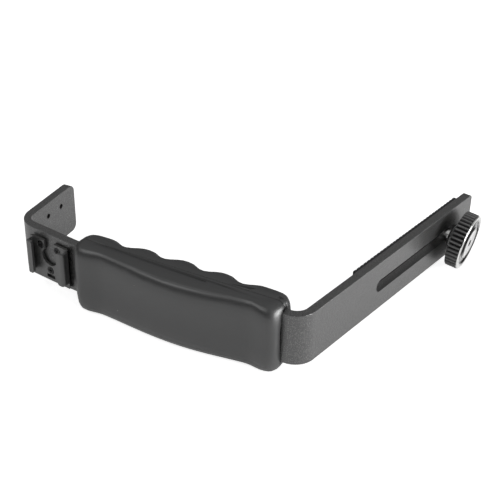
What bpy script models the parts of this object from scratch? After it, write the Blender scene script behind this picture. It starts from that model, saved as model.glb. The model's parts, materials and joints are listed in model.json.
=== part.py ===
"""Camera bracket: a bent flat strap with a two-shell moulded grip, an accessory shoe and a captive camera screw.

The bracket lies on its side. Z runs across the strap's width, the base arm runs along +Y, and its outer
face looks along +X. Everything along the strap is placed on one line, the middle of the strap's
thickness, walked from the tip of the short arm to the tip of the base arm.
"""

import math

import bmesh
import bpy
from mathutils import Matrix, Vector

# The strap
strap_width = 0.025
strap_thickness = 0.0042
strap_edge_round = 0.0005
short_arm_length = 0.0389
shoe_run_length = 0.0422
base_arm_length = 0.1339
short_bend_outer_radius = 0.0112
short_bend_inner_radius = 0.0045
easing_bend_radius = 0.150
base_bend_radius = 0.0078
short_arm_splay = math.radians(12.75)
shoe_run_slant = math.radians(3.0)
grip_run_slant = math.radians(11.43)
short_arm_corner_radius = 0.0036
base_arm_corner_radius = 0.0018
bend_step = math.radians(7.5)

# Clearances
seat_gap = 0.0003
parting_gap = 0.0003
cut_overrun = 0.002

# The slot for the camera screw, along the base arm
slot_width = 0.0062
slot_length = 0.0675
slot_from_tip = 0.0139
slot_end = base_arm_length - slot_from_tip
slot_start = slot_end - slot_length

# The rubber pad on the base arm's inner face, which frames the slot
pad_beyond_slot_end = 0.0088
pad_beyond_slot_start = 0.0092
pad_end = slot_end + pad_beyond_slot_end
pad_start = slot_start - pad_beyond_slot_start
pad_length = pad_end - pad_start
pad_width = 0.021
pad_thickness = 0.0026
pad_rib_pitch = 0.0026
pad_rib_width = 0.0018
pad_groove_depth = 0.0005

# The grip
grip_length = 0.1007
grip_bend_clearance = 0.0018
grip_run_spare = 0.0029
grip_run_length = grip_length + grip_run_spare
grip_side_wall = 0.0046
grip_half_height = strap_width / 2 + grip_side_wall
grip_depth_end_round = 0.0048
grip_height_end_round = 0.0030
parting_chamfer = 0.0003
grip_end_squareness = 2.5
grip_end_blend = 0.009
palm_lip_depth = 0.0084
palm_neck_depth = 0.0069
palm_crown_depth = 0.0109
palm_lip_length = 0.013
palm_crown_place_share = 0.53
palm_lip_flat_share = 0.35
palm_lip_fade_share = 0.8
palm_crown_power = 1.3
palm_squareness = 6.0
palm_hollow = 0.0009
finger_end_depth = 0.0108
finger_crown_depth = 0.0128
finger_groove_depth = 0.0045
finger_groove_pitch = 0.0193
finger_groove_start = 0.0208
finger_groove_count = 4
finger_squareness = 3.2
finger_groove_power = 1.3
grip_station_pitch = 0.0024
skin_steps = 22
skin_gathering = 2.4

# The screws that hold the two shells together through the strap
grip_screw_grooves = (0, 2, 3)
grip_screw_radius = 0.0015
grip_screw_head_radius = 0.0027
grip_screw_head_height = 0.0018
grip_screw_bite = 0.0036
grip_screw_seat_wall = 0.0022
grip_screw_clearance = 0.0002

# The accessory shoe
shoe_from_corner = 0.0199
shoe_width = 0.0232
shoe_length = 0.0206
shoe_base_height = 0.0012
shoe_sheet = 0.0013
shoe_stand = 0.0048
shoe_lip_opening = 0.0152
shoe_bend_radius = 0.0017
shoe_rail_foot = 0.0025
shoe_rail_head = 0.0010
shoe_rail_corner = 0.0012
shoe_window_radius = 0.0045
shoe_window_neck = 0.0058
shoe_window_rise = 0.0127
shoe_slit_width = 0.0050
shoe_slit_height = 0.0018
shoe_slit_rise = 0.0023
shoe_slit_corner = 0.0004
shoe_screw_spacing = 0.0104
shoe_screw_upper_rise = 0.0176
shoe_screw_lower_rise = 0.0055
shoe_screw_radius = 0.00125
shoe_screw_head_radius = 0.00185
shoe_screw_head_height = 0.0009
shoe_screw_clearance = 0.0002
short_arm_pattern_drop = 0.0006
short_arm_pattern_from_corner = 0.0222

# The captive camera screw, which hangs loose in its slot: its axis leans from square to the base arm
camera_screw_from_slot_end = 0.0066
camera_screw_place = slot_end - camera_screw_from_slot_end
screw_lean_to_tip = math.radians(9.2)
screw_lean_down = math.radians(8.1)
screw_lean = math.atan(math.hypot(math.tan(screw_lean_to_tip), math.tan(screw_lean_down)))
neck_radius = 0.0025
thread_radius = 0.003175
thread_reach = 0.0021
thread_tip_chamfer = 0.0005
ring_radius = 0.0045
ring_thickness = 0.0008
washer_radius = 0.0055
washer_thickness = 0.0008
neck_clearance = 0.0003
knob_stand_off = 0.0045
knob_radius = 0.0137
knob_thickness = 0.0061
knob_edge_chamfer = 0.0005
knob_rib_count = 40
knob_rib_depth = 0.0007
knob_rib_turn_shares = (0.0, 0.17, 0.32, 0.5, 0.68, 0.83)
knob_rib_drop_shares = (1.0, 0.75, 0.12, 0.0, 0.12, 0.75)
knob_web = 0.0018
screw_head_radius = 0.0046
screw_head_height = 0.0024
rim_outer_radius = 0.0134
rim_inner_radius = 0.0102
rim_gap = 0.0001
rim_thickness = 0.0005
rim_bevel = 0.0003
cap_radius = 0.0094
cap_thickness = 0.0008
cap_dish = 0.0003
cap_recess_radius = 0.0011
cap_recess_depth = 0.0004

# Facets
round_steps = 48
washer_steps = 32
small_round_steps = 24
hidden_round_steps = 16

# Looks, as (colour, roughness, metallic)
powder_coat = ((0.075, 0.075, 0.078), 0.55, 0.2)
soft_plastic = ((0.045, 0.045, 0.047), 0.6, 0.0)
black_steel = ((0.03, 0.03, 0.03), 0.4, 0.8)
rubber = ((0.02, 0.02, 0.02), 0.8, 0.0)
hard_plastic = ((0.025, 0.025, 0.027), 0.4, 0.0)
chrome = ((0.8, 0.8, 0.8), 0.12, 1.0)


class StrapLine:
    """A line along the strap: straight runs between corners, each corner rounded by an arc to the left."""

    def __init__(self, corners, radii):
        self.pieces = []
        self.corner_arcs = []
        directions = [(b - a).normalized() for a, b in zip(corners, corners[1:])]
        turns = [math.acos(a.dot(b)) for a, b in zip(directions, directions[1:])]
        self.tangents = [radius * math.tan(turn / 2) for radius, turn in zip(radii, turns)]
        tangents = [0, *self.tangents, 0]
        distance = 0.0
        for index, direction in enumerate(directions):
            start = corners[index] + direction * tangents[index]
            run = (corners[index + 1] - corners[index]).length - tangents[index] - tangents[index + 1]
            self.pieces.append(("run", distance, run, start, direction, 0.0))
            distance += run
            if index < len(turns):
                arc = radii[index] * turns[index]
                self.pieces.append(("arc", distance, arc, start + direction * run, direction, radii[index]))
                self.corner_arcs.append((distance, distance + arc))
                distance += arc
        self.length = distance

    def tangent(self, corner):
        """The length from a rounded corner's virtual point to where its arc starts or ends."""
        return self.tangents[corner]

    def place(self, distance):
        """The point and the direction of travel at a distance from the short arm's tip."""
        kind, begin, _, start, direction, radius = next(
            (piece for piece in self.pieces if distance <= piece[1] + piece[2]), self.pieces[-1]
        )
        along = distance - begin
        if kind == "run":
            return start + direction * along, direction
        turn = along / radius
        left = Vector((-direction.y, direction.x))
        point = start + direction * radius * math.sin(turn) + left * radius * (1 - math.cos(turn))
        return point, direction * math.cos(turn) + left * math.sin(turn)

    def stations(self, start, end):
        """Distances that follow the bends between two places on the line."""
        found = [start]
        for kind, begin, length, _, _, radius in self.pieces:
            steps = max(1, math.ceil(length / radius / bend_step)) if kind == "arc" else 1
            for step in range(1, steps + 1):
                distance = begin + length * step / steps
                if start < distance < end:
                    found.append(distance)
        return found + [end]


def heading(angle):
    return Vector((math.cos(angle), math.sin(angle)))


def strap_corners(offset=0):
    """The strap's corners from the short arm's tip to the base arm's, moved out of its middle by an offset."""
    headings = [heading(3 * math.pi / 2 + short_arm_splay)]
    headings += [heading(shoe_run_slant), heading(grip_run_slant), heading(math.pi / 2)]
    lengths = [short_arm_length, shoe_run_length, grip_run_length, base_arm_length]
    point = Vector((0, 0))
    for direction, length in zip(headings[:3], lengths[:3]):
        point = point - direction * length
    corners = [point]
    for direction, length in zip(headings, lengths):
        corners.append(corners[-1] + direction * length)
    sides = [right_of(direction) for direction in headings]
    moves = [sides[0]]
    for before, after in zip(sides, sides[1:]):
        moves.append((before + after) / (1 + before.dot(after)))
    moves.append(sides[-1])
    return [corner + move * offset for corner, move in zip(corners, moves)]


def strap_line():
    """The middle of the strap, which the grip, the shoe and the holes follow."""
    middle = (short_bend_outer_radius + short_bend_inner_radius) / 2
    return StrapLine(strap_corners(), [middle, easing_bend_radius, base_bend_radius])


def strap_face(side):
    """One face of the strap. The short bend thins the metal, so its two faces have their own radii there."""
    offset = side * strap_thickness / 2
    short = short_bend_outer_radius if side > 0 else short_bend_inner_radius
    return StrapLine(strap_corners(offset), [short, easing_bend_radius + offset, base_bend_radius + offset])


def right_of(direction):
    return Vector((direction.y, -direction.x))


def material(name, look):
    """A piece's own material."""
    colour, roughness, metallic = look
    made = bpy.data.materials.new(name)
    made.use_nodes = True
    shader = made.node_tree.nodes["Principled BSDF"]
    shader.inputs["Base Color"].default_value = (*colour, 1)
    shader.inputs["Roughness"].default_value = roughness
    shader.inputs["Metallic"].default_value = metallic
    return made


def finish(bm, name, look, frame=None, parent=None):
    """One named object from a bmesh, with its faces outwards and round faces shaded smooth."""
    bmesh.ops.recalc_face_normals(bm, faces=bm.faces)
    mesh = bpy.data.meshes.new(name)
    bm.to_mesh(mesh)
    bm.free()
    mesh.shade_smooth()
    mesh.set_sharp_from_angle(angle=math.radians(35))
    mesh.materials.append(material(name, look))
    piece = bpy.data.objects.new(name, mesh)
    bpy.context.collection.objects.link(piece)
    piece.parent = parent
    if frame:
        piece.matrix_basis = frame
    return piece


def cut(piece, cutter_mesh, name, frame=None, solver="EXACT"):
    """Takes a helper shape, in the piece's own frame unless another is given, away from the piece."""
    bmesh.ops.recalc_face_normals(cutter_mesh, faces=cutter_mesh.faces)
    mesh = bpy.data.meshes.new(name)
    cutter_mesh.to_mesh(mesh)
    cutter_mesh.free()
    cutter = bpy.data.objects.new(name, mesh)
    bpy.context.collection.objects.link(cutter)
    cutter.parent = piece.parent
    cutter.matrix_basis = piece.matrix_basis @ (frame or Matrix())
    cutter.hide_render = True
    cutter.display_type = "WIRE"
    boolean = piece.modifiers.new(name, "BOOLEAN")
    boolean.operation = "DIFFERENCE"
    boolean.solver = solver
    boolean.object = cutter


def soften(piece, width, segments=2):
    """Rounds the edges that are sharper than the facets of a curve."""
    bevel = piece.modifiers.new("edge_round", "BEVEL")
    bevel.limit_method = "ANGLE"
    bevel.angle_limit = math.radians(40)
    bevel.width = width
    bevel.segments = segments
    bevel.use_clamp_overlap = True


def loft(rings):
    """A solid through rings of points, with a face over each end."""
    bm = bmesh.new()
    rows = [[bm.verts.new(point) for point in ring] for ring in rings]
    for low, high in zip(rows, rows[1:]):
        for index in range(len(low)):
            following = (index + 1) % len(low)
            bm.faces.new((low[index], low[following], high[following], high[index]))
    bm.faces.new(rows[0])
    bm.faces.new(rows[-1])
    return bm


def prism(outline, low, high):
    """An outline in the plane, raised from one height to another."""
    return loft([[(x, y, height) for x, y in outline] for height in (low, high)])


def arc(centre, radius, start, end, steps):
    """Points along an arc, both ends included, by angle."""
    angles = (start + (end - start) * step / steps for step in range(steps + 1))
    return [(centre[0] + radius * math.cos(angle), centre[1] + radius * math.sin(angle)) for angle in angles]


def rounded_rectangle(length, width, radius, steps=6):
    """A rectangle about its centre, with round corners. A radius of half the width gives a slot."""
    across, up = length / 2 - radius, width / 2 - radius
    quarter = math.pi / 2
    corners = [(across, up, 0), (-across, up, 1), (-across, -up, 2), (across, -up, 3)]
    outline = []
    for x, y, turn in corners:
        outline += arc((x, y), radius, quarter * turn, quarter * (turn + 1), steps)
    return outline


def turned(profile, steps=round_steps):
    """A solid turned round X from a profile of (place along the axis, radius)."""
    bm = bmesh.new()
    rows = [bm.verts.new((along, radius, 0)) for along, radius in profile]
    ring = profile[0][1] > 0 and profile[-1][1] > 0
    edges = [bm.edges.new(pair) for pair in zip(rows, rows[1:])]
    if ring:
        edges.append(bm.edges.new((rows[-1], rows[0])))
    bmesh.ops.spin(
        bm, geom=rows + edges, cent=(0, 0, 0), axis=(1, 0, 0), angle=2 * math.pi, steps=steps, use_merge=True
    )
    bmesh.ops.remove_doubles(bm, verts=bm.verts, dist=seat_gap / 100)
    return bm


def drill(radius, start, end, steps=small_round_steps):
    """A round cutter along X."""
    return turned([(start, 0), (start, radius), (end, radius), (end, 0)], steps)


def turn_z(angle):
    return Matrix.Rotation(angle, 4, "Z")


def seat_frame(point, direction, height=0.0):
    """A frame on the strap whose X looks out of the strap's outer face and whose Y runs along the strap."""
    outward = right_of(direction)
    return Matrix.Translation((point.x, point.y, height)) @ turn_z(math.atan2(outward.y, outward.x))


def make_strap(line, root):
    """A flat bar bent on edge lines, with its corners, edges, slot and holes."""
    outer, inner = strap_face(1), strap_face(-1)
    outline = [outer.place(distance)[0] for distance in outer.stations(0, outer.length)]
    outline += [inner.place(distance)[0] for distance in reversed(inner.stations(0, inner.length))]
    bm = prism(outline, -strap_width / 2, strap_width / 2)
    for distance, radius in ((0.0, short_arm_corner_radius), (line.length, base_arm_corner_radius)):
        round_tip(bm, line, distance, radius)
    strap = finish(bm, "strap_frame", powder_coat, parent=root)
    soften(strap, strap_edge_round)
    return strap


def round_tip(bm, line, distance, radius):
    """Rounds the two corners of an arm's tip, seen square to its flat faces."""
    point, _ = line.place(distance)
    reach = strap_thickness
    corners = [
        edge
        for edge in bm.edges
        if all((vert.co.xy - point).length < reach for vert in edge.verts)
        and abs(edge.verts[0].co.z - edge.verts[1].co.z) < seat_gap
    ]
    bmesh.ops.bevel(bm, geom=corners, offset=radius, segments=6, profile=0.5, affect="EDGES")


def cut_slot(strap):
    outline = rounded_rectangle(slot_length, slot_width, slot_width / 2, steps=8)
    middle = (slot_start + slot_end) / 2
    reach = strap_thickness / 2 + cut_overrun
    frame = Matrix.Translation((0, middle, 0)) @ lay_down()
    cut(strap, prism(outline, -reach, reach), "slot_cutter", frame)


def end_inset(distance, radius):
    """How far a rounded end has drawn in, at a distance from the end."""
    if distance >= radius:
        return 0.0
    return radius - math.sqrt(radius**2 - (radius - distance) ** 2)


def bump(share):
    """A smooth hump, 0 at -1 and 1 and 1 in its middle."""
    return (1 + math.cos(math.pi * share)) / 2 if abs(share) < 1 else 0.0


def palm_depth(distance):
    """How far the palm shell stands off the strap's middle line: two end lips, two necks and a crown."""
    crown_place = grip_length * palm_crown_place_share
    end = palm_lip_length if distance < crown_place else grip_length - palm_lip_length
    share = (distance - crown_place) / abs(end - crown_place)
    crown = math.cos(math.pi / 2 * share) ** palm_crown_power if abs(share) < 1 else 0.0
    from_end = min(distance, grip_length - distance)
    past_flat = max(0, from_end - palm_lip_length * palm_lip_flat_share)
    lip = bump(past_flat / (palm_lip_length * palm_lip_fade_share))
    depth = palm_neck_depth + (palm_crown_depth - palm_neck_depth) * crown
    depth += (palm_lip_depth - palm_neck_depth) * lip
    return depth - end_inset(from_end, grip_depth_end_round)


def groove_centre(index):
    return finger_groove_start + finger_groove_pitch * index


def finger_depth(distance):
    """How far the finger shell stands off the strap's middle line, with one groove for each finger."""
    share = (distance - grip_length / 2) / (grip_length / 2)
    crest = finger_end_depth + (finger_crown_depth - finger_end_depth) * math.cos(math.pi / 2 * share)
    half_pitch = finger_groove_pitch / 2
    humps = [bump((distance - groove_centre(index)) / half_pitch) for index in range(finger_groove_count)]
    groove = sum(humps) ** finger_groove_power
    from_end = min(distance, grip_length - distance)
    return crest - finger_groove_depth * groove - end_inset(from_end, grip_depth_end_round)


def grip_stations():
    """Places along the grip: close together on the rounded ends, then evenly spaced."""
    radius = max(grip_depth_end_round, grip_height_end_round)
    ends = [radius * (1 - math.cos(math.radians(angle))) for angle in (0, 20, 40, 60, 78)]
    steps = round((grip_length - 2 * radius) / grip_station_pitch)
    middle = [radius + (grip_length - 2 * radius) * step / steps for step in range(steps + 1)]
    return ends + middle + [grip_length - place for place in reversed(ends)]


def superellipse(angle, squareness):
    """A point on a rounded square of half width 1. The points gather towards its corner without crowding there."""
    across = max(0, math.cos(angle)) ** (2 / skin_gathering)
    up = abs(math.sin(angle)) ** (2 / skin_gathering)
    reach = (across**squareness + up**squareness) ** (1 / squareness)
    return across / reach, math.copysign(up / reach, math.sin(angle))


def grip_section(distance, depth, squareness, hollow):
    """One shell's closed section: its outer skin, and the channel that lies round the strap."""
    from_end = min(distance, grip_length - distance)
    half_height = grip_half_height - end_inset(from_end, grip_height_end_round)
    blend = max(0, 1 - from_end / grip_end_blend) ** 2
    squareness += (grip_end_squareness - squareness) * blend
    face = parting_gap / 2
    edge = face + parting_chamfer
    skin = [(face, half_height - parting_chamfer)]
    for step in range(skin_steps + 1):
        angle = math.pi / 2 - math.pi * step / skin_steps
        across, up = superellipse(angle, squareness)
        dished = hollow * bump(up) * (1 - blend)
        skin.append((edge + (depth - dished - edge) * across, half_height * up))
    skin.append((face, parting_chamfer - half_height))
    channel_depth = strap_thickness / 2 + seat_gap
    channel_half = strap_width / 2 + seat_gap
    channel = [(face, -channel_half), (channel_depth, -channel_half)]
    channel += [(channel_depth, channel_half), (face, channel_half)]
    return skin + channel


def make_grip_shell(name, line, grip_start, side, section_at, root):
    """One shell, lofted along the strap through the sections that section_at gives."""
    rings = []
    for distance in grip_stations():
        point, direction = line.place(grip_start + distance)
        outward = right_of(direction) * side
        places = [(point + outward * depth, height) for depth, height in section_at(distance)]
        rings.append([(place.x, place.y, height) for place, height in places])
    return finish(loft(rings), name, soft_plastic, parent=root)


def palm_section(distance):
    return grip_section(distance, palm_depth(distance), palm_squareness, palm_hollow)


def finger_section(distance):
    return grip_section(distance, finger_depth(distance), finger_squareness, 0)


def make_grip(line, strap, root):
    """Two shells closed on the strap, and the screws that pass from the finger side into the palm shell."""
    grip_start = line.corner_arcs[2][0] - grip_bend_clearance - grip_length
    palm = make_grip_shell("palm_shell", line, grip_start, 1, palm_section, root)
    finger = make_grip_shell("finger_shell", line, grip_start, -1, finger_section, root)
    shank = grip_screw_radius
    loose = shank + grip_screw_clearance
    seat = -(strap_thickness / 2 + seat_gap + grip_screw_seat_wall)
    tip = strap_thickness / 2 + grip_screw_bite
    for number, groove in enumerate(grip_screw_grooves, 1):
        distance = groove_centre(groove)
        frame = seat_frame(*line.place(grip_start + distance))
        open_end = -finger_depth(distance) - cut_overrun
        reach = strap_thickness / 2 + cut_overrun
        cut(strap, drill(loose, -reach, reach, hidden_round_steps), f"strap_grip_hole_{number}", frame)
        bore = [
            (open_end, 0),
            (open_end, grip_screw_head_radius + grip_screw_clearance),
            (seat, grip_screw_head_radius + grip_screw_clearance),
            (seat, loose),
            (0, loose),
            (0, 0),
        ]
        cut(finger, turned(bore, small_round_steps), f"finger_bore_{number}", frame, "MANIFOLD")
        palm_hole = drill(loose, 0, tip + grip_screw_clearance, hidden_round_steps)
        cut(palm, palm_hole, f"palm_hole_{number}", frame)
        under_head = seat - seat_gap
        head_top = under_head - grip_screw_head_height
        crown = grip_screw_head_height / 2
        profile = [
            (head_top, 0),
            (head_top, grip_screw_head_radius - crown),
            (head_top + crown, grip_screw_head_radius),
            (under_head, grip_screw_head_radius),
            (under_head, shank),
            (tip - shank, shank),
            (tip, 0),
        ]
        finish(turned(profile, hidden_round_steps), f"grip_screw_{number}", black_steel, frame, root)


def shoe_outline():
    """The bent sheet's section, from one lip round the base to the other: (away from the strap, across)."""
    half = shoe_width / 2
    lip = shoe_lip_opening / 2
    outer, inner = shoe_bend_radius, shoe_bend_radius - shoe_sheet
    low, high = seat_gap, seat_gap + shoe_stand
    quarter = math.pi / 2
    right = arc((half - outer, low + outer), outer, -quarter, 0, 4)
    right += arc((half - outer, high - outer), outer, 0, quarter, 4)
    right += [(lip, high), (lip, high - shoe_sheet)]
    right += arc((half - outer, high - outer), inner, quarter, 0, 3)
    right += arc((half - outer, low + outer), inner, 0, -quarter, 3)
    left = [(-across, away) for across, away in reversed(right)]
    return [(away, across) for across, away in right + left]


def keyhole():
    """The shoe's cut-out: a round window with a neck that runs out at the top."""
    half_neck = shoe_window_neck / 2
    edge = math.asin(half_neck / shoe_window_radius)
    quarter = math.pi / 2
    centre = (0, shoe_window_rise)
    around = arc(centre, shoe_window_radius, quarter + edge, 5 * quarter - edge, small_round_steps)
    top = shoe_length + cut_overrun
    return around + [(half_neck, top), (-half_neck, top)]


def rail_trimmer(sign, edge, setback):
    """What comes off the rails at one end: a straight cut with the corners of each lip rounded."""
    lip, half = shoe_lip_opening / 2, shoe_width / 2
    radius, beyond = shoe_rail_corner, cut_overrun
    quarter = math.pi / 2
    right = [(half + beyond, -beyond), (half + beyond, setback + radius), (half, setback + radius)]
    right += arc((half - radius, setback + radius), radius, 0, -quarter, 5)[1:]
    right += arc((lip + radius, setback + radius), radius, -quarter, -2 * quarter, 5)
    right.append((lip - beyond, setback + radius))
    left = [(-across, height) for across, height in reversed(right)]
    return [(across, edge + sign * height) for across, height in right + left]


def lay_down():
    """Turns a raised outline so that it rises away from the strap, with its own up along Z."""
    return Matrix(((0, 0, 1), (1, 0, 0), (0, 1, 0))).to_4x4()


def shoe_places():
    """The three screws: two level with the neck, one below the window, as (across, rise)."""
    half = shoe_screw_spacing / 2
    return [(-half, shoe_screw_upper_rise), (half, shoe_screw_upper_rise), (0, shoe_screw_lower_rise)]


def make_shoe(line, strap, root):
    """The accessory shoe: a bent sheet with two lipped rails, held by three countersunk screws."""
    point, direction = line.place(line.corner_arcs[0][1] + shoe_from_corner - line.tangent(0))
    outer_face = point + right_of(direction) * strap_thickness / 2
    frame = seat_frame(outer_face, direction, shoe_base_height - strap_width / 2)
    shoe = finish(prism(shoe_outline(), 0, shoe_length), "shoe_plate", powder_coat, frame, root)
    face = seat_gap + shoe_sheet
    above = seat_gap + shoe_stand + cut_overrun
    through = face + cut_overrun / 2
    trims = ((1, 0, shoe_rail_foot), (-1, shoe_length, shoe_rail_head))
    for name, trim in zip(("shoe_foot_cutter", "shoe_head_cutter"), trims):
        cut(shoe, prism(rail_trimmer(*trim), face, above), name, lay_down())
    cut(shoe, prism(keyhole(), -cut_overrun, through), "shoe_window_cutter", lay_down())
    slit = rounded_rectangle(shoe_slit_width, shoe_slit_height, shoe_slit_corner, 2)
    slit = [(across, height + shoe_slit_rise) for across, height in slit]
    cut(shoe, prism(slit, -cut_overrun, through), "shoe_slit_cutter", lay_down())
    for number, (across, rise) in enumerate(shoe_places(), 1):
        add_shoe_screw(number, shoe, strap, frame, across, rise, root)
    drill_short_arm(line, strap)


def add_shoe_screw(number, shoe, strap, frame, across, rise, root):
    """A flat-headed screw sunk in the shoe's base and tapped through the strap."""
    place = Matrix.Translation((0, across, rise))
    face = seat_gap + shoe_sheet
    loose = shoe_screw_clearance
    above = face + cut_overrun / 2
    sink = [
        (-cut_overrun, 0),
        (-cut_overrun, shoe_screw_radius + loose),
        (face - shoe_screw_head_height - loose, shoe_screw_radius + loose),
        (face, shoe_screw_head_radius + loose),
        (above, shoe_screw_head_radius + loose),
        (above, 0),
    ]
    cut(shoe, turned(sink, small_round_steps), f"shoe_sink_{number}", place)
    hole = drill(shoe_screw_radius + loose, -strap_thickness - cut_overrun, cut_overrun, hidden_round_steps)
    cut(strap, hole, f"strap_shoe_hole_{number}", frame @ place)
    profile = [
        (-strap_thickness, 0),
        (-strap_thickness, shoe_screw_radius),
        (face - shoe_screw_head_height, shoe_screw_radius),
        (face, shoe_screw_head_radius),
        (face, 0),
    ]
    finish(turned(profile, small_round_steps), f"shoe_screw_{number}", black_steel, frame @ place, root)


def drill_short_arm(line, strap):
    """The short arm has the same upper pair of holes, left open for another accessory."""
    point, direction = line.place(line.corner_arcs[0][0] - short_arm_pattern_from_corner + line.tangent(0))
    frame = seat_frame(point, direction, shoe_base_height - short_arm_pattern_drop - strap_width / 2)
    reach = strap_thickness / 2 + cut_overrun
    for number, (across, rise) in enumerate(shoe_places()[:2], 1):
        place = frame @ Matrix.Translation((0, across, rise))
        hole = drill(shoe_screw_radius, -reach, reach, hidden_round_steps)
        cut(strap, hole, f"short_arm_hole_{number}", place)


def clear_of_arm(radius):
    """How far along the leaning screw a disc of this radius stands to clear the base arm's face."""
    return (strap_thickness / 2 + seat_gap + radius * math.sin(screw_lean)) / math.cos(screw_lean)


def make_pad(root):
    """Ribbed rubber on the inner face, with a slot wide enough for the retaining ring."""
    back = -(strap_thickness / 2 + seat_gap)
    top = back - pad_thickness
    count = int((pad_length - pad_rib_width) / pad_rib_pitch)
    spare = (pad_length - pad_rib_width - count * pad_rib_pitch) / 2
    outline = [(back, pad_start)]
    for index in range(count + 1):
        start = pad_start + spare + index * pad_rib_pitch
        end = start + pad_rib_width
        start = pad_start if index == 0 else start
        end = pad_end if index == count else end
        outline += [(top, start), (top, end)]
        if index < count:
            floor = top + pad_groove_depth
            following = pad_start + spare + (index + 1) * pad_rib_pitch
            outline += [(floor, end), (floor, following)]
    outline.append((back, pad_end))
    bm = prism(outline, -pad_width / 2, pad_width / 2)
    pad = finish(bm, "camera_pad", rubber, parent=root)
    drift = (clear_of_arm(ring_radius) + ring_thickness) * math.tan(screw_lean)
    pad_slot_width = 2 * (ring_radius + seat_gap + drift)
    beyond = pad_slot_width / 2 - neck_radius - seat_gap
    slot = rounded_rectangle(slot_length + 2 * beyond, pad_slot_width, pad_slot_width / 2, 8)
    frame = Matrix.Translation((0, (slot_start + slot_end) / 2, 0)) @ lay_down()
    cut(pad, prism(slot, top - cut_overrun, back + cut_overrun / 4), "pad_slot_cutter", frame)


def ribbed_ring(radius, depth):
    """The knob's outline: rounded ribs with narrow grooves between them."""
    outline = []
    pitch = 2 * math.pi / knob_rib_count
    for rib in range(knob_rib_count):
        for turn_share, drop_share in zip(knob_rib_turn_shares, knob_rib_drop_shares):
            angle = pitch * (rib + turn_share)
            reach = radius - depth * drop_share
            outline.append((reach * math.cos(angle), reach * math.sin(angle)))
    return outline


def make_knob_body(frame, root):
    """A moulded knob with straight ribs, bored for the screw's neck and head."""
    front = knob_thickness
    rings = []
    for along, radius in (
        (0.0, knob_radius - knob_edge_chamfer),
        (knob_edge_chamfer, knob_radius),
        (front - knob_edge_chamfer, knob_radius),
        (front, knob_radius - knob_edge_chamfer),
    ):
        rings.append([(along, y, z) for y, z in ribbed_ring(radius, knob_rib_depth)])
    knob = finish(loft(rings), "knob_body", hard_plastic, frame, root)
    bore = neck_radius + seat_gap
    head = screw_head_radius + seat_gap
    profile = [
        (-cut_overrun, 0),
        (-cut_overrun, bore),
        (knob_web, bore),
        (knob_web, head),
        (front + cut_overrun, head),
        (front + cut_overrun, 0),
    ]
    cut(knob, turned(profile, small_round_steps), "knob_bore_cutter")


def make_camera_screw(root):
    """Ring, washer, screw, knob, rim and cap, all on one axis that leans through the slot."""
    outer_face = strap_thickness / 2
    leaning = Vector((1, math.tan(screw_lean_to_tip), -math.tan(screw_lean_down)))
    lean = Vector((1, 0, 0)).rotation_difference(leaning).to_matrix().to_4x4()
    axis = Matrix.Translation((0, camera_screw_place, 0)) @ lean
    bore = neck_radius + neck_clearance
    ring_start = -clear_of_arm(ring_radius)
    ring = [
        (ring_start, bore),
        (ring_start, ring_radius),
        (ring_start - ring_thickness, ring_radius),
        (ring_start - ring_thickness, bore),
    ]
    finish(turned(ring, washer_steps), "retaining_ring", black_steel, axis, root)
    washer_start = clear_of_arm(washer_radius)
    washer = [
        (washer_start, bore),
        (washer_start + washer_thickness, bore),
        (washer_start + washer_thickness, washer_radius),
        (washer_start, washer_radius),
    ]
    finish(turned(washer, washer_steps), "thrust_washer", black_steel, axis, root)
    knob_back = outer_face + knob_stand_off
    shoulder = ring_start - ring_thickness - seat_gap
    tip = -(outer_face + seat_gap + pad_thickness + thread_reach)
    head_back = knob_back + knob_web + seat_gap
    screw = [
        (tip, 0),
        (tip, thread_radius - thread_tip_chamfer),
        (tip + thread_tip_chamfer, thread_radius),
        (shoulder, thread_radius),
        (shoulder, neck_radius),
        (head_back, neck_radius),
        (head_back, screw_head_radius),
        (head_back + screw_head_height, screw_head_radius),
        (head_back + screw_head_height, 0),
    ]
    finish(turned(screw, washer_steps), "camera_screw", chrome, axis, root)
    knob_frame = axis @ Matrix.Translation((knob_back, 0, 0))
    make_knob_body(knob_frame, root)
    front = knob_thickness + rim_gap
    rim = [
        (front, rim_inner_radius),
        (front, rim_outer_radius - rim_bevel / 2),
        (front + rim_thickness - rim_bevel, rim_outer_radius),
        (front + rim_thickness, rim_outer_radius - rim_bevel),
        (front + rim_thickness - rim_bevel / 2, rim_inner_radius + rim_bevel),
        (front + rim_thickness - rim_bevel, rim_inner_radius),
    ]
    finish(turned(rim, round_steps), "knob_rim", chrome, knob_frame, root)
    face = front + cap_thickness
    cap = [
        (front, 0),
        (front, cap_radius),
        (face - cap_dish / 2, cap_radius),
        (face, cap_radius - cap_dish),
        (face - cap_dish / 2, cap_radius / 2),
        (face - cap_dish, cap_recess_radius),
        (face - cap_recess_depth - cap_dish / 2, cap_recess_radius),
        (face - cap_recess_depth - cap_dish / 2, 0),
    ]
    finish(turned(cap, round_steps), "knob_cap", chrome, knob_frame, root)


def stand_on_origin(root):
    """Moves the whole bracket so that the bottom centre of its box is the origin."""
    bpy.context.view_layer.update()
    corners = [
        piece.matrix_world @ Vector(corner)
        for piece in root.children
        if not piece.hide_render
        for corner in piece.bound_box
    ]
    low = [min(corner[axis] for corner in corners) for axis in range(3)]
    high = [max(corner[axis] for corner in corners) for axis in range(3)]
    root.location = (-(low[0] + high[0]) / 2, -(low[1] + high[1]) / 2, -low[2])


def main():
    for leftover in list(bpy.data.objects):
        bpy.data.objects.remove(leftover)
    root = bpy.data.objects.new("bracket", None)
    bpy.context.collection.objects.link(root)
    line = strap_line()
    strap = make_strap(line, root)
    cut_slot(strap)
    make_grip(line, strap, root)
    make_shoe(line, strap, root)
    make_pad(root)
    make_camera_screw(root)
    stand_on_origin(root)


main()
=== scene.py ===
"""Looks of the camera bracket: finishes, turned and threaded details, the studio and the camera.

The bracket lies on its side on a white table. The base arm runs along +Y with its outer face towards +X.
"""

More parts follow.
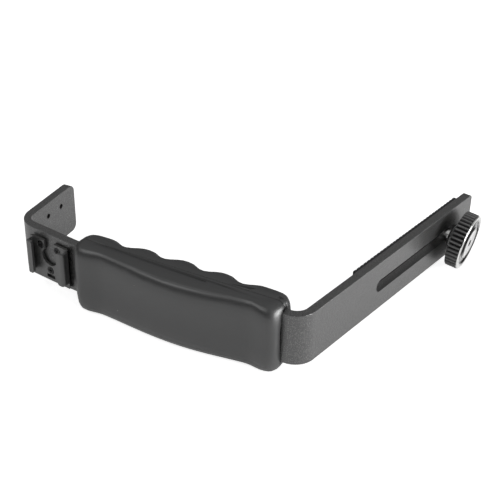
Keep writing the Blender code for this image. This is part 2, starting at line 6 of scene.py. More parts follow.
import json
import math

import bmesh
import bpy
from mathutils import Matrix, Vector

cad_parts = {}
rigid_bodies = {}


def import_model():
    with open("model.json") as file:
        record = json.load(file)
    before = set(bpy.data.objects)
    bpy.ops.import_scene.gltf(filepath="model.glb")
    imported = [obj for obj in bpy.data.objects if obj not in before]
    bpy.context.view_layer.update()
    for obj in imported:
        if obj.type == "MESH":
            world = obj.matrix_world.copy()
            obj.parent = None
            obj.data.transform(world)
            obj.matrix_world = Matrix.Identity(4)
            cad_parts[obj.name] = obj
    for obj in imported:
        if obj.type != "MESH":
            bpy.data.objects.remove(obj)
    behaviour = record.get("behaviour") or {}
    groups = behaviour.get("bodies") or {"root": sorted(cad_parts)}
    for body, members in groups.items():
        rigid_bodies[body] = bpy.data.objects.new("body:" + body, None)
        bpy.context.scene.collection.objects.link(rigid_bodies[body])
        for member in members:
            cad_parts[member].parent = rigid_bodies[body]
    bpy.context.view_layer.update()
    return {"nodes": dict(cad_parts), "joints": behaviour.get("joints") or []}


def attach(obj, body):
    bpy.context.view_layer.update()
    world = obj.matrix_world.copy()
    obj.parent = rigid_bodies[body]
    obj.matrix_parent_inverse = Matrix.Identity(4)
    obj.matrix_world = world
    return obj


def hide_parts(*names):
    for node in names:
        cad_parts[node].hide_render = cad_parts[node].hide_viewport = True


for leftover in list(bpy.data.objects):
    bpy.data.objects.remove(leftover)
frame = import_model()

# The camera, fitted to the photograph's straight edges
photo_width = 500
view_azimuth = math.radians(38.423)
view_elevation = math.radians(32.502)
view_roll = math.radians(1.273)
view_distance = 0.525186
focal_pixels = 1134.506
sensor_width = 36.0
nearest_seen = 0.01
target_from_base_corner = Vector((-0.06001, 0.04044, 0.0))
screw_from_base_corner = 0.1134

# The studio
floor_camera_lift_share = 0.75
floor_mirror_lift_share = 0.37
panel_place = Vector((0.80, 0.22, 0.12))
panel_size = (0.62, 0.30)
panel_power = 10.0
ridge_place = Vector((-0.35, -0.75, 0.85))
ridge_size = (0.35, 0.2)
ridge_power = 1.6
light_aim = Vector((0.0, 0.0, 0.02))
floor_reach = 4.0
paper_grain_size = 0.004

# How bright the surroundings are, from the horizon up to overhead: height and brightness
sky_shares = ((0.0, 0.02), (0.2, 0.05), (0.5, 0.36), (1.0, 0.55))

# The knob and its screw, as outlines of distance along the leaning axis and radius
rib_count = 40
rib_depth = 0.0011
rib_root_radius = 0.0127
rib_groove_power = 2.6
knob_radius = 0.0137
knob_front = 0.0124
knob_outline = (
    (0.0066, 0.0026), (0.0066, 0.0112), (0.0066, 0.0128), (0.00667, 0.01325), (0.00685, 0.01356),
    (0.0072, 0.0137), (0.0090, 0.0137), (0.0108, 0.0137), (0.0120, 0.0137), (0.0124, 0.01360),
    (0.01262, 0.01342), (0.0127, 0.0130), (0.0127, 0.0104), (0.01274, 0.0101), (0.01284, 0.0096),
    (0.01300, 0.0088), (0.01306, 0.0082), (0.01300, 0.0070), (0.0118, 0.0048), (0.0085, 0.0048),
    (0.0085, 0.0026),
)
rim_outline = (
    (0.01272, 0.01095), (0.01290, 0.01080), (0.01310, 0.01088), (0.01322, 0.01115), (0.01326, 0.01150),
    (0.01318, 0.01175), (0.01314, 0.01210), (0.01318, 0.01245), (0.01328, 0.01270), (0.01330, 0.01290),
    (0.01325, 0.01312), (0.01312, 0.01330), (0.01295, 0.01340), (0.01272, 0.01342),
)
disc_outline = (
    (0.0130, 0.0), (0.0130, 0.0076), (0.0132, 0.0079), (0.01345, 0.0078), (0.01355, 0.0075),
    (0.01350, 0.0062), (0.01346, 0.0048), (0.01346, 0.0032), (0.01352, 0.0022), (0.01350, 0.00172),
    (0.01340, 0.00155), (0.0131, 0.0015), (0.0131, 0.0),
)
screw_tip = -0.0071
thread_radius = 0.003175
thread_tip_chamfer = 0.00045
shoulder = -0.00453
neck_radius = 0.0025
screw_head = (0.0087, 0.0111, 0.0046)
thread_pitch = 0.00127
thread_depth = 0.00055
thread_fade_share = 0.35
thread_rings = 26

# Cross recesses: how long, wide and deep a wing is, and each screw's turn
grip_recess = (0.0024, 0.0006, 0.0007)
shoe_recess = (0.0024, 0.00055, 0.00045)
recess_turns = (0.5, 1.1, 0.2)

# The groove along the parting line of the grip's halves
parting_width = 0.00018
parting_depth = 0.00100

# How far the strap's and the shoe's sharp edges are broken, and which edges count as sharp
strap_edge = 0.0004
shoe_edge = 0.00015
broken_angle = math.radians(50)

# The grip's faces swell a little between their edges
grip_half_height = 0.0171
grip_crown = 0.0016

# What counts as one point, one flat face, one smooth curve, or the top of a screw head
merge_distance = 0.000002
flat_angle = math.radians(0.4)
smooth_angle = math.radians(32)
head_flatness = 0.00001

# How squarely a face has to look along a direction to be the mating face, or at most to be a wall
mating_share = 0.999
wall_share = 0.9

# The ways that the grip's screw heads and the shoe face
finger_side = Vector((-0.1981, 0.9802, 0.0)).normalized()
shoe_side = Vector((0.052336, -0.99863, 0.0)).normalized()

# Steps of round shapes
round_steps = 128
rib_steps = 8
thread_steps = 48


class Value:
    """One output of a node. Python's operators on it add Math nodes to its tree."""

    def __init__(self, graph, socket):
        self.graph = graph
        self.socket = socket

    def maths(self, operation, *terms):
        return self.graph.add("ShaderNodeMath", {"operation": operation}, dict(enumerate(terms)))[0]

    def __add__(self, other):
        return self.maths("ADD", self, other)

    def __sub__(self, other):
        return self.maths("SUBTRACT", self, other)

    def __rsub__(self, other):
        return self.maths("SUBTRACT", other, self)

    def __mul__(self, other):
        return self.maths("MULTIPLY", self, other)

    def __truediv__(self, other):
        return self.maths("DIVIDE", self, other)

    def __pow__(self, other):
        return self.maths("POWER", self, other)

    def __gt__(self, other):
        return self.maths("GREATER_THAN", self, other)

    def __lt__(self, other):
        return self.maths("LESS_THAN", self, other)

    __radd__ = __add__
    __rmul__ = __mul__


class Outputs:
    """A finished node, whose outputs are read by name or number."""

    def __init__(self, graph, node):
        self.graph = graph
        self.node = node

    def __getitem__(self, name):
        return Value(self.graph, self.node.outputs[name])


class Graph:
    """A node tree being written, with the place of the point that it works on."""

    def __init__(self, tree):
        self.tree = tree
        self.place = None

    def add(self, kind, settings=None, inputs=None):
        """Any node: its settings are set first, then its sockets take values or links."""
        node = self.tree.nodes.new(kind)
        for name, value in (settings or {}).items():
            if name == "stops":
                self.set_stops(node.color_ramp, value)
            else:
                setattr(node, name, value)
        for name, value in (inputs or {}).items():
            self.feed(node.inputs[name], value)
        return Outputs(self, node)

    def feed(self, socket, value):
        if isinstance(value, (tuple, list)) and isinstance(value[0], Value):
            for one in value:
                self.tree.links.new(one.socket, socket)
        elif isinstance(value, Value):
            self.tree.links.new(value.socket, socket)
        else:
            socket.default_value = value

    def split(self):
        """The three parts of each point's place."""
        return self.add("ShaderNodeSeparateXYZ", inputs={"Vector": self.place})

    @staticmethod
    def from_axis(parts):
        """Distance from the X axis, which the knob's and the screw's pieces are turned on."""
        return (parts["Y"] ** 2.0 + parts["Z"] ** 2.0) ** 0.5

    @staticmethod
    def set_stops(ramp, stops):
        while len(ramp.elements) < len(stops):
            ramp.elements.new(1.0)
        for element, (place, shade) in zip(ramp.elements, stops):
            element.position = place
            element.color = (shade, shade, shade, 1.0)


class Finish(Graph):
    """A material on one Principled shader, with patterns in the bracket's own metres."""

    def __init__(self, name, seat=None, **fixed):
        self.material = bpy.data.materials.new(name)
        self.material.use_nodes = True
        super().__init__(self.material.node_tree)
        self.shader = self.tree.nodes["Principled BSDF"]
        for socket, value in fixed.items():
            self.shader.inputs[socket.replace("_", " ")].default_value = value
        self.normal = None
        self.place = self.add("ShaderNodeTexCoord")["Object"]
        if seat:
            turn = {"Vector": self.place, "Location": seat.translation, "Rotation": seat.to_euler()}
            self.place = self.add("ShaderNodeMapping", {"vector_type": "TEXTURE"}, turn)["Vector"]

    def set(self, socket, value):
        self.feed(self.shader.inputs[socket], value)

    def noise(self, size, detail=2.0, place=None):
        """Soft noise with features of about a size in metres."""
        inputs = {"Vector": place or self.place, "Scale": 1 / size, "Detail": detail}
        return self.add("ShaderNodeTexNoise", inputs=inputs)["Fac"]

    def stretched(self, along):
        """The place with one axis squeezed, for streaks along it."""
        streak_share = 0.06
        scale = [streak_share if axis == along else 1.0 for axis in "XYZ"]
        return self.add("ShaderNodeMapping", inputs={"Vector": self.place, "Scale": scale})["Vector"]

    def ramp(self, value, *stops):
        return self.add("ShaderNodeValToRGB", {"stops": stops}, {"Fac": value})["Color"]

    def mix(self, amount, first, second):
        """One colour turning into another as the amount goes from 0 to 1."""
        start = (*first, 1.0) if isinstance(first, tuple) else first
        inputs = {"Factor": amount, 6: start, 7: (*second, 1.0)}
        return self.add("ShaderNodeMix", {"data_type": "RGBA"}, inputs)[2]

    def bump(self, height, depth, strength=1.0):
        """Raises the surface by up to a depth in metres where the height is 1, on top of earlier bumps."""
        inputs = {"Height": height, "Distance": depth, "Strength": strength}
        if self.normal:
            inputs["Normal"] = self.normal
        self.normal = self.add("ShaderNodeBump", inputs=inputs)["Normal"]
        self.set("Normal", self.normal)

    def paint_shade_and_glints(self, where):
        """Turned metal painted near black as shade and dark reflection, but for two fixed opposite sectors
        left bright as painted highlights.
        """
        painted_shade_colour = (0.006, 0.006, 0.006, 1.0)
        painted_shade_share, glint_share = 0.92, 0.66
        parts = self.split()
        diagonal = parts["Y"] * parts["Z"] / self.from_axis(parts) ** 2.0
        glint = self.ramp(diagonal, (0.10, 0.0), (0.45, 1.0))
        # painted shade over the metal, except in the two sectors kept bright as painted highlights
        amount = where * (painted_shade_share - glint * glint_share)
        matt = self.add("ShaderNodeBsdfDiffuse", inputs={"Color": painted_shade_colour})["BSDF"]
        own = Outputs(self, self.shader)["BSDF"]
        both = self.add("ShaderNodeMixShader", inputs={0: amount, 1: own, 2: matt})["Shader"]
        self.feed(self.tree.nodes["Material Output"].inputs["Surface"], both)


def powder_coat():
    """Black powder coat: an even dark film over fine grains that glint, duller in broad patches."""
    grain_size, fleck_size, pit_size = 0.00045, 0.00034, 0.00060
    ripple_size, patch_size = 0.0008, 0.018
    grain_height, ripple_height = 0.00010, 0.00009
    finish = Finish("powder_coat", IOR=2.0)
    grain = finish.noise(grain_size, 1.0)
    fleck = finish.ramp(finish.noise(fleck_size, 0.0), (0.58, 0.0), (0.70, 1.0))
    pit = finish.ramp(finish.noise(pit_size, 0.0), (0.32, 1.0), (0.44, 0.0))
    patch = finish.noise(patch_size, 3.0)
    even = finish.mix(patch, (0.009, 0.009, 0.0092), (0.014, 0.014, 0.0142))
    pitted = finish.mix(pit, even, (0.003, 0.003, 0.003))
    finish.set("Base Color", finish.mix(fleck, pitted, (0.115, 0.115, 0.112)))
    finish.set("Roughness", 0.21 + grain * 0.14 + patch * 0.05)
    finish.bump(finish.noise(ripple_size, 0.0), ripple_height, 0.6)
    finish.bump(grain, grain_height, 0.9)
    return finish.material


def shoe_coat():
    """The pressed shoe's thinner, smoother black coat."""
    grain_size, ripple_size, patch_size = 0.0003, 0.0008, 0.006
    grain_height, ripple_height = 0.00004, 0.00008
    finish = Finish("shoe_coat", IOR=1.85)
    grain = finish.noise(grain_size, 1.0)
    patch = finish.noise(patch_size, 2.0)
    finish.set("Base Color", finish.mix(patch, (0.048, 0.048, 0.048), (0.068, 0.068, 0.067)))
    finish.set("Roughness", 0.30 + grain * 0.14)
    finish.bump(finish.noise(ripple_size, 0.0), ripple_height, 0.5)
    finish.bump(grain, grain_height, 0.7)
    return finish.material


def grip_skin():
    """Soft black grip moulding: a fine dull skin with faint handling marks and a few specks of dust."""
    skin_size, mark_size, dust_spacing, dusty_patch_size = 0.00022, 0.011, 0.0042, 0.006
    skin_height = 0.00002
    speck_share, clean_share = 0.06, 0.69
    finish = Finish("grip_skin", IOR=1.8)
    skin = finish.noise(skin_size, 2.0)
    marks = finish.noise(mark_size, 4.0)
    inputs = {"Vector": finish.place, "Scale": 1 / dust_spacing}
    from_dust = finish.add("ShaderNodeTexVoronoi", {"feature": "F1"}, inputs)["Distance"]
    speck = (from_dust < speck_share) * (finish.noise(dusty_patch_size, 0.0) > clean_share)
    even = finish.mix(marks, (0.016, 0.0165, 0.017), (0.021, 0.0215, 0.022))
    finish.set("Base Color", finish.mix(speck, even, (0.45, 0.45, 0.43)))
    finish.set("Roughness", 0.33 + skin * 0.10 + marks * 0.08)
    height = finish.split()["Z"]
    from_middle = height.maths("ABSOLUTE", height / grip_half_height - 1.0)
    finish.bump(1 - from_middle ** 4.0, grip_crown)
    finish.bump(skin, skin_height, 0.5)
    return finish.material


def blackened_steel():
    """Blackened screws, with the bare metal starting to show where a driver has rubbed."""
    rub_size = 0.0009
    finish = Finish("blackened_steel", Metallic=0.75)
    rub = finish.ramp(finish.noise(rub_size, 3.0), (0.50, 0.0), (0.68, 1.0))
    finish.set("Base Color", finish.mix(rub, (0.016, 0.016, 0.017), (0.080, 0.078, 0.075)))
    finish.set("Roughness", 0.28 + rub * 0.14)
    return finish.material


def pad_rubber():
    """Black rubber with a fine dull grain."""
    grain_size, bloom_size = 0.00035, 0.009
    grain_height = 0.00004
    finish = Finish("pad_rubber", Specular_IOR_Level=0.35)
    grain = finish.noise(grain_size, 3.0)
    bloom = finish.noise(bloom_size, 3.0)
    finish.set("Base Color", finish.mix(bloom, (0.026, 0.026, 0.027), (0.050, 0.050, 0.050)))
    finish.set("Roughness", 0.62 + grain * 0.16)
    finish.bump(grain, grain_height, 0.6)
    return finish.material


def knob_plastic(seat):
    """Hard black moulding of the knob, painted lighter on the ribs' crests as highlights and near black in
    the grooves as shade, with a metal front painted dark as shade and reflection.
    """
    grain_size, scuff_size = 0.0004, 0.0018
    grain_height = 0.00003
    finish = Finish("knob_plastic", seat, IOR=1.6)
    grain = finish.noise(grain_size, 2.0, finish.stretched("X"))
    scuff = finish.noise(scuff_size, 3.0)
    parts = finish.split()
    above_root = (finish.from_axis(parts) - rib_root_radius) / (knob_radius - rib_root_radius)
    # the ribs' crests painted lighter as highlights and the grooves painted near black as shade
    crest = finish.ramp(above_root, (0.25, 0.0), (0.95, 1.0))
    painted_crest_light_and_groove_shade = finish.mix(crest, (0.004, 0.004, 0.004), (0.120, 0.120, 0.120))
    moulded = finish.mix(grain * 0.3, painted_crest_light_and_groove_shade, (0.03, 0.03, 0.03))
    front = parts["X"] > knob_front
    finish.set("Base Color", finish.mix(front, moulded, (0.60, 0.60, 0.60)))
    finish.set("Metallic", front)
    finish.set("Roughness", 0.17 + grain * 0.14 + scuff * 0.10)
    finish.bump(grain, grain_height, 0.5)
    # the metal front painted dark as shade and reflection, with two bright painted sectors
    finish.paint_shade_and_glints(front)
    return finish.material


def bright_plate(seat):
    """Bright plated metal with faint handling marks, painted dark round the inside of the knob's rim as
    shade and reflection.
    """
    mark_size = 0.0009
    painted_shade_from, painted_shade_width = 0.0100, 0.0025
    finish = Finish("bright_plate", seat, Metallic=1.0)
    marks = finish.noise(mark_size, 3.0, finish.stretched("X"))
    finish.set("Base Color", finish.mix(marks, (0.62, 0.62, 0.61), (0.84, 0.84, 0.83)))
    finish.set("Roughness", 0.08 + marks * 0.14)
    # a band round the inside of the knob's rim painted dark as shade and reflection, with two bright painted
    # sectors
    into_band = (finish.from_axis(finish.split()) - painted_shade_from) / painted_shade_width
    finish.paint_shade_and_glints(finish.ramp(into_band, (0.0, 0.0), (0.05, 1.0), (0.55, 1.0), (0.85, 0.0)))
    return finish.material


def spun_disc(seat):
    """A disc turned on a lathe: fine rings, soft clouds, a socket painted dark as shade, and an edge painted
    dark as shade and reflection.
    """
    ring_pitch, ring_height = 0.00022, 0.000006
    cloud_size = 0.0030
    painted_shade_socket_radius, painted_edge_shade_start, painted_edge_shade_fade = 0.00162, 0.0063, 0.0008
    finish = Finish("spun_disc", seat, Metallic=1.0)
    radius = finish.from_axis(finish.split())
    wave = radius.maths("SINE", radius * (2 * math.pi / ring_pitch))
    cloud = finish.ramp(finish.noise(cloud_size, 2.0), (0.40, 0.0), (0.62, 1.0))
    bright = finish.mix(cloud, (0.62, 0.62, 0.62), (0.90, 0.90, 0.90))
    # the socket and its wall painted dark as the shade inside the recess
    socket = radius < painted_shade_socket_radius
    finish.set("Base Color", finish.mix(socket, bright, (0.05, 0.05, 0.05)))
    finish.set("Roughness", 0.16 + cloud * 0.12)
    finish.bump(wave * 0.5 + 0.5, ring_height, 0.5)
    # the disc's edge painted dark as shade and reflection, with two bright painted sectors
    finish.paint_shade_and_glints(finish.ramp((radius - painted_edge_shade_start) / painted_edge_shade_fade, (0.0, 0.0), (1.0, 1.0)))
    return finish.material


class Shape(Graph):
    """A Geometry Nodes tree with named sizes. It works on a blank mesh and gives back a plain one."""

    def __init__(self, name, **sizes):
        super().__init__(bpy.data.node_groups.new(name, "GeometryNodeTree"))
        face = self.tree.interface
        face.new_socket("Geometry", in_out="INPUT", socket_type="NodeSocketGeometry")
        face.new_socket("Geometry", in_out="OUTPUT", socket_type="NodeSocketGeometry")
        self.named = {}
        for label, value in sizes.items():
            kind = "NodeSocketInt" if isinstance(value, int) else "NodeSocketFloat"
            self.named[label] = (face.new_socket(label, in_out="INPUT", socket_type=kind).identifier, value)
        given = Outputs(self, self.tree.nodes.new("NodeGroupInput"))
        self.blank = given["Geometry"]
        self.size = {label: given[label] for label in sizes}
        self.place = self.add("GeometryNodeInputPosition")["Position"]

    def joined(self, x, y, z):
        return self.add("ShaderNodeCombineXYZ", inputs={"X": x, "Y": y, "Z": z})["Vector"]

    def round_the_axis(self):
        """Distance along X, radius and angle of each point."""
        parts = self.split()
        radius = self.from_axis(parts)
        return parts, radius, radius.maths("ARCTAN2", parts["Z"], parts["Y"])

    def sunk(self, drop):
        """The blank with each point brought closer to the axis by a drop."""
        parts, radius, _ = self.round_the_axis()
        kept = 1 - drop / radius
        place = self.joined(parts["X"], parts["Y"] * kept, parts["Z"] * kept)
        moved = {"Geometry": self.blank, "Position": place}
        return self.add("GeometryNodeSetPosition", inputs=moved)["Geometry"]

    def run(self, result, blank, material):
        """Ends the tree, runs it on the blank and takes the plain mesh that comes out."""
        real = self.add("GeometryNodeRealizeInstances", inputs={"Geometry": result})["Geometry"]
        finished = {"Geometry": real, "Material": material}
        dressed = self.add("GeometryNodeSetMaterial", inputs=finished)["Geometry"]
        self.feed(self.tree.nodes.new("NodeGroupOutput").inputs["Geometry"], dressed)
        holder = bpy.data.objects.new(self.tree.name, blank)
        bpy.context.scene.collection.objects.link(holder)
        modifier = holder.modifiers.new(self.tree.name, "NODES")
        modifier.node_group = self.tree
        for identifier, value in self.named.values():
            modifier[identifier] = value
        made = holder.evaluated_get(bpy.context.evaluated_depsgraph_get())
        mesh = bpy.data.meshes.new_from_object(made)
        bpy.data.objects.remove(holder)
        return mesh


def turned(name, outline, steps, closed=False):
    """A blank turned about X from an outline of distance and radius."""
    bm = bmesh.new()
    rings = []
    for along, radius in outline:
        if radius == 0:
            rings.append([bm.verts.new((along, 0, 0))] * steps)
            continue
        angles = [2 * math.pi * step / steps for step in range(steps)]
        rings.append([bm.verts.new((along, radius * math.cos(a), radius * math.sin(a))) for a in angles])
    pairs = list(zip(rings, rings[1:])) + ([(rings[-1], rings[0])] if closed else [])
    for ring, following in pairs:
        for step in range(steps):
            after = (step + 1) % steps
            corners = [ring[step], ring[after], following[after], following[step]]
            bm.faces.new([corner for place, corner in enumerate(corners) if corner not in corners[:place]])
    bmesh.ops.recalc_face_normals(bm, faces=bm.faces)
    mesh = bpy.data.meshes.new(name)
    bm.to_mesh(mesh)
    bm.free()
    return mesh


def ribbed_edge(blank, material):
    """Rounded ribs all round the knob, dying out where the blank's radius falls to the root."""
    radii = {"Root_Radius": rib_root_radius, "Edge_Radius": knob_radius}
    tree = Shape("ribbed_edge", Ribs=rib_count, Rib_Depth=rib_depth, **radii)
    _, radius, angle = tree.round_the_axis()
    half_turn = radius.maths("COSINE", angle * tree.size["Ribs"] * 0.5)
    groove = radius.maths("ABSOLUTE", half_turn) ** rib_groove_power
    root, edge = tree.size["Root_Radius"], tree.size["Edge_Radius"]
    fade = radius.maths("MAXIMUM", (radius - root) / (edge - root), 0.0)
    return tree.run(tree.sunk(groove * fade * tree.size["Rib_Depth"]), blank, material)


def screw_thread(blank, material):
    """A camera thread cut into the blank between two places along it."""
    keeps_turns_positive = 50.0
    tree = Shape("screw_thread", Pitch=thread_pitch, Depth=thread_depth, Start=screw_tip, End=shoulder)
    parts, radius, angle = tree.round_the_axis()
    along, pitch = parts["X"], tree.size["Pitch"]
    turn = radius.maths("FRACT", along / pitch + angle / (2 * math.pi) + keeps_turns_positive)
    groove = 1 - radius.maths("ABSOLUTE", turn - 0.5) * 2.0
    from_start = (along - tree.size["Start"]) / (pitch * thread_fade_share)
    from_end = (tree.size["End"] - along) / (pitch * thread_fade_share)
    within = radius.maths("MAXIMUM", radius.maths("MINIMUM", from_start, from_end), 0.0)
    fade = radius.maths("MINIMUM", within, 1.0)
    return tree.run(tree.sunk(groove * fade * tree.size["Depth"]), blank, material)


def driver_recess(blank, sizes, turn, material):
    """A cross recess sunk into a screw head that faces +Z at the origin."""
    length, width, depth = sizes
    tree = Shape("driver_recess", Length=length, Width=width, Depth=depth, Turn=turn)
    wings = []
    for quarter in (0.0, math.pi / 2):
        size = tree.joined(tree.size["Length"], tree.size["Width"], tree.size["Depth"] * 2.0)
        wing = tree.add("GeometryNodeMeshCube", inputs={"Size": size})["Mesh"]
        spin = tree.joined(0.0, 0.0, tree.size["Turn"] + quarter)
        turned_wing = tree.add("GeometryNodeTransform", inputs={"Geometry": wing, "Rotation": spin})
        wings.append(turned_wing["Geometry"])
    cutting = {"Mesh 1": tree.blank, "Mesh 2": wings}
    cut = tree.add("GeometryNodeMeshBoolean", {"operation": "DIFFERENCE"}, cutting)["Mesh"]
    return tree.run(cut, blank, material)


def dress(piece, material, body):
    """Gives a finished piece its material and its body."""
    piece.data.materials.clear()
    piece.data.materials.append(material)
    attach(piece, body)


def merged_copy(node, name):
    """A CAD piece's mesh, and an editable copy of it with its loose faces joined up."""
    mesh = frame["nodes"][node].data.copy()
    mesh.name = name
    bm = bmesh.new()
    bm.from_mesh(mesh)
    bmesh.ops.remove_doubles(bm, verts=bm.verts, dist=merge_distance)
    return mesh, bm


def flat_copy(node, name):
    """A merged copy whose flat faces are whole again."""
    mesh, bm = merged_copy(node, name)
    make_whole(bm)
    bm.to_mesh(mesh)
    bm.free()
    return mesh


def make_whole(bm):
    """Joins the triangles of each flat face into one."""
    bmesh.ops.dissolve_limit(bm, angle_limit=flat_angle, verts=bm.verts, edges=bm.edges, delimit=set())


def grip_copy(node, name, side):
    """A grip half cut back all round its mating face, so that the parting line shows as a groove."""
    mesh, bm = merged_copy(node, name)
    bm.normal_update()
    facing = [face for face in bm.faces if face.normal.dot(side) > mating_share]
    mating = max(facing, key=lambda face: face.calc_area())
    level = mating.calc_center_median().dot(side)
    geometry = bm.verts[:] + bm.edges[:] + bm.faces[:]
    near = side * (level - parting_width)
    bmesh.ops.bisect_plane(bm, geom=geometry, plane_co=near, plane_no=side, dist=merge_distance)
    bm.normal_update()
    moves = {}
    for vert in bm.verts:
        if abs(vert.co.dot(side) - level) < merge_distance * 5:
            walls = [face.normal for face in vert.link_faces if abs(face.normal.dot(side)) < wall_share]
            outward = sum(walls, Vector())
            outward -= side * outward.dot(side)
            if outward.length > 0:
                moves[vert] = outward.normalized() * parting_depth
    for vert, move in moves.items():
        vert.co -= move
    make_whole(bm)
    bm.to_mesh(mesh)
    bm.free()
    return mesh


def show(mesh, name, material, body, slot, *nodes, edge=0.0):
    """Puts a finished mesh in the scene in place of its CAD nodes, its sharp edges broken where asked."""
    mesh.name = name
    mesh.shade_smooth()
    mesh.set_sharp_from_angle(angle=smooth_angle)
    piece = bpy.data.objects.new(name, mesh)
    bpy.context.scene.collection.objects.link(piece)
    if edge:
        rounded = piece.modifiers.new("broken_edges", "BEVEL")
        rounded.width = edge
        rounded.segments = 2
        rounded.limit_method = "ANGLE"
        rounded.angle_limit = broken_angle
    weighted = piece.modifiers.new("even_shading", "WEIGHTED_NORMAL")
    weighted.keep_sharp = True
    dress(piece, material, body)
    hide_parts(*nodes)


def smooth_copy(node, name, material, body, slot, edge=0.0):
    """A CAD piece with its faces joined up, so that its curves shade as one surface."""
    show(flat_copy(node, name), name, material, body, slot, node, edge=edge)


def head_frame(mesh, rough_axis):
    """The middle of a screw's flat head and the way it faces."""
    reach = max(face.center.dot(rough_axis) for face in mesh.polygons)
    tops = [face for face in mesh.polygons if face.center.dot(rough_axis) > reach - head_flatness]
    area = sum(face.area for face in tops)
    middle = sum((face.center * face.area for face in tops), Vector()) / area
    facing = sum((face.normal * face.area for face in tops), Vector()).normalized()
    return Matrix.Translation(middle) @ Vector((0, 0, 1)).rotation_difference(facing).to_matrix().to_4x4()


def crossed_screw(node, name, rough_axis, sizes, turn, material):
    """A CAD screw with a cross recess in its head."""
    mesh = flat_copy(node, name)
    place = head_frame(mesh, rough_axis)
    mesh.transform(place.inverted())
    made = driver_recess(mesh, sizes, turn, material)
    made.transform(place)
    show(made, name, material, "frame", "black_steel", node)


def lathe_seat():
    """The leaning axis of knob and screw, from the joint that they turn on."""
    joint = next(joint for joint in frame["joints"] if joint["name"] == "screw_spin")
    lean = Vector((1, 0, 0)).rotation_difference(Vector(joint["axis"]))
    return Matrix.Translation(joint["pos_m"]) @ lean.to_matrix().to_4x4()


def screw_outline():
    """The plain screw, with rings close together where the thread is cut."""
    chamfer_end = screw_tip + thread_tip_chamfer
    steps = range(thread_rings + 1)
    rings = [chamfer_end + (shoulder - chamfer_end) * step / thread_rings for step in steps]
    back, front, radius = screw_head
    return (
        [(screw_tip, 0), (screw_tip, thread_radius - thread_tip_chamfer)]
        + [(along, thread_radius) for along in rings]
        + [(shoulder, neck_radius), (back, neck_radius), (back, radius), (front, radius), (front, 0)]
    )


def make_knob(seat, plastic, plate, disc):
    """The captive screw and its knob, turned on the leaning axis."""
    knob = ribbed_edge(turned("knob_blank", knob_outline, rib_count * rib_steps, True), plastic)
    screw = screw_thread(turned("screw_blank", screw_outline(), thread_steps), plate)
    rim = turned("rim_blank", rim_outline, round_steps, True)
    face = turned("disc_blank", disc_outline, round_steps)
    for mesh, name, material, slot, node in (
        (knob, "ribbed_knob", plastic, "knob_plastic", "knob_body"),
        (screw, "thumb_screw", plate, "bright_chrome", "camera_screw"),
        (rim, "knob_ring", plate, "bright_chrome", "knob_rim"),
        (face, "knob_disc", disc, "satin_metal", "knob_cap"),
    ):
        mesh.transform(seat)
        show(mesh, name, material, "screw", slot, node)


def add_camera():
    """The photograph's camera: its aim is a place measured from the strap's base corner."""
    data = bpy.data.cameras.new("camera")
    data.sensor_width = sensor_width
    data.lens = focal_pixels / photo_width * sensor_width
    data.clip_start = nearest_seen
    camera = bpy.data.objects.new("camera", data)
    bpy.context.scene.collection.objects.link(camera)
    flat, rise = math.cos(view_elevation), math.sin(view_elevation)
    back = Vector((math.sin(view_azimuth) * flat, -math.cos(view_azimuth) * flat, rise))
    right = Vector((math.cos(view_azimuth), math.sin(view_azimuth), 0))
    up = back.cross(right)
    rolled_right = right * math.cos(view_roll) + up * math.sin(view_roll)
    rolled_up = up * math.cos(view_roll) - right * math.sin(view_roll)
    place = Matrix((rolled_right, rolled_up, back)).transposed().to_4x4()
    place.translation = base_corner() + target_from_base_corner + back * view_distance
    camera.matrix_world = place
    bpy.context.scene.camera = camera


def base_corner():
    """Where the base arm's middle plane meets the grip run's, at half the strap's width."""
    point = lathe_seat().translation
    return Vector((point.x, point.y - screw_from_base_corner, point.z))


def add_light(name, place, size, power):
    """A white softbox that looks at the bracket."""
    data = bpy.data.lights.new(name, "AREA")
    data.shape = "RECTANGLE"
    data.size, data.size_y = size
    data.energy = power
    light = bpy.data.objects.new(name, data)
    bpy.context.scene.collection.objects.link(light)
    turn = (light_aim - place).to_track_quat("-Z", "Y")
    light.matrix_world = Matrix.Translation(place) @ turn.to_matrix().to_4x4()


def add_floor():
    """A white table with the bracket's soft shadow: fully white to camera rays, less so to mirror rays."""
    mesh = bpy.data.meshes.new("floor")
    bm = bmesh.new()
    bmesh.ops.create_grid(bm, x_segments=1, y_segments=1, size=floor_reach)
    bm.to_mesh(mesh)
    bm.free()
    floor = bpy.data.objects.new("floor", mesh)
    bpy.context.scene.collection.objects.link(floor)
    finish = Finish("floor_paper", Roughness=0.9, Specular_IOR_Level=0.1, Emission_Strength=1.0)
    grain = finish.noise(paper_grain_size, 2.0)
    finish.set("Base Color", finish.mix(grain, (0.80, 0.80, 0.80), (0.83, 0.83, 0.83)))
    rays = finish.add("ShaderNodeLightPath")
    lift = rays["Is Camera Ray"] * floor_camera_lift_share + rays["Is Glossy Ray"] * floor_mirror_lift_share
    finish.set("Emission Color", finish.ramp(lift, (0.0, 0.0), (1.0, 1.0)))
    mesh.materials.append(finish.material)


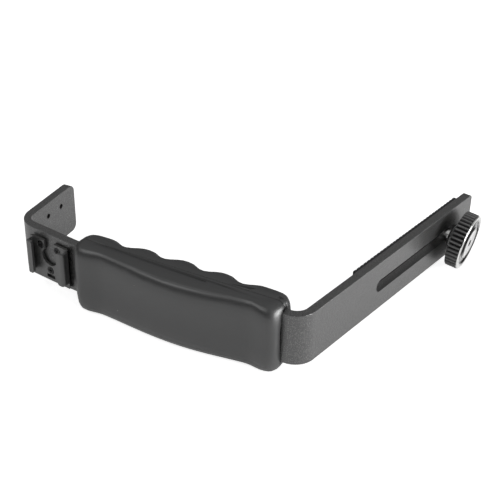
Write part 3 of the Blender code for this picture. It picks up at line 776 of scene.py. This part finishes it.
def add_world():
    """Soft studio surroundings: a darker band at the horizon, brighter overhead, white to the camera."""
    world = bpy.data.worlds.new("studio")
    world.use_nodes = True
    bpy.context.scene.world = world
    graph = Graph(world.node_tree)
    direction = graph.add("ShaderNodeTexCoord")["Generated"]
    height = graph.add("ShaderNodeSeparateXYZ", inputs={"Vector": direction})["Z"]
    sky = graph.add("ShaderNodeValToRGB", {"stops": sky_shares}, {"Fac": height})["Color"]
    camera_ray = graph.add("ShaderNodeLightPath")["Is Camera Ray"]
    inputs = {"Factor": camera_ray, 6: sky, 7: (1.0, 1.0, 1.0, 1.0)}
    seen = graph.add("ShaderNodeMix", {"data_type": "RGBA"}, inputs)[2]
    graph.feed(world.node_tree.nodes["Background"].inputs["Color"], seen)


def main():
    bpy.context.scene.view_settings.view_transform = "Standard"
    add_camera()
    seat = lathe_seat()
    coat, shoe, grip = powder_coat(), shoe_coat(), grip_skin()
    steel, rubber, plastic = blackened_steel(), pad_rubber(), knob_plastic(seat)
    smooth_copy("strap_frame", "strap_bar", coat, "frame", "strap_coat", strap_edge)
    smooth_copy("shoe_plate", "shoe_bracket", shoe, "frame", "shoe_coat", shoe_edge)
    smooth_copy("camera_pad", "pad_sheet", rubber, "frame", "pad_rubber")
    smooth_copy("retaining_ring", "keeper_ring", steel, "ring", "black_steel")
    smooth_copy("thrust_washer", "flat_washer", steel, "washer", "black_steel")
    make_knob(seat, plastic, bright_plate(seat), spun_disc(seat))
    for node, name, side in (
        ("palm_shell", "palm_half", finger_side),
        ("finger_shell", "finger_half", -finger_side),
    ):
        show(grip_copy(node, name, side), name, grip, "frame", "grip_plastic", node)
    for number, turn in enumerate(recess_turns, 1):
        crossed_screw(f"grip_screw_{number}", f"grip_fixing_{number}", finger_side, grip_recess, turn, steel)
        crossed_screw(f"shoe_screw_{number}", f"shoe_fixing_{number}", shoe_side, shoe_recess, turn, steel)
    add_floor()
    add_world()
    add_light("side_panel", panel_place, panel_size, panel_power)
    add_light("ridge_softbox", ridge_place, ridge_size, ridge_power)


main()
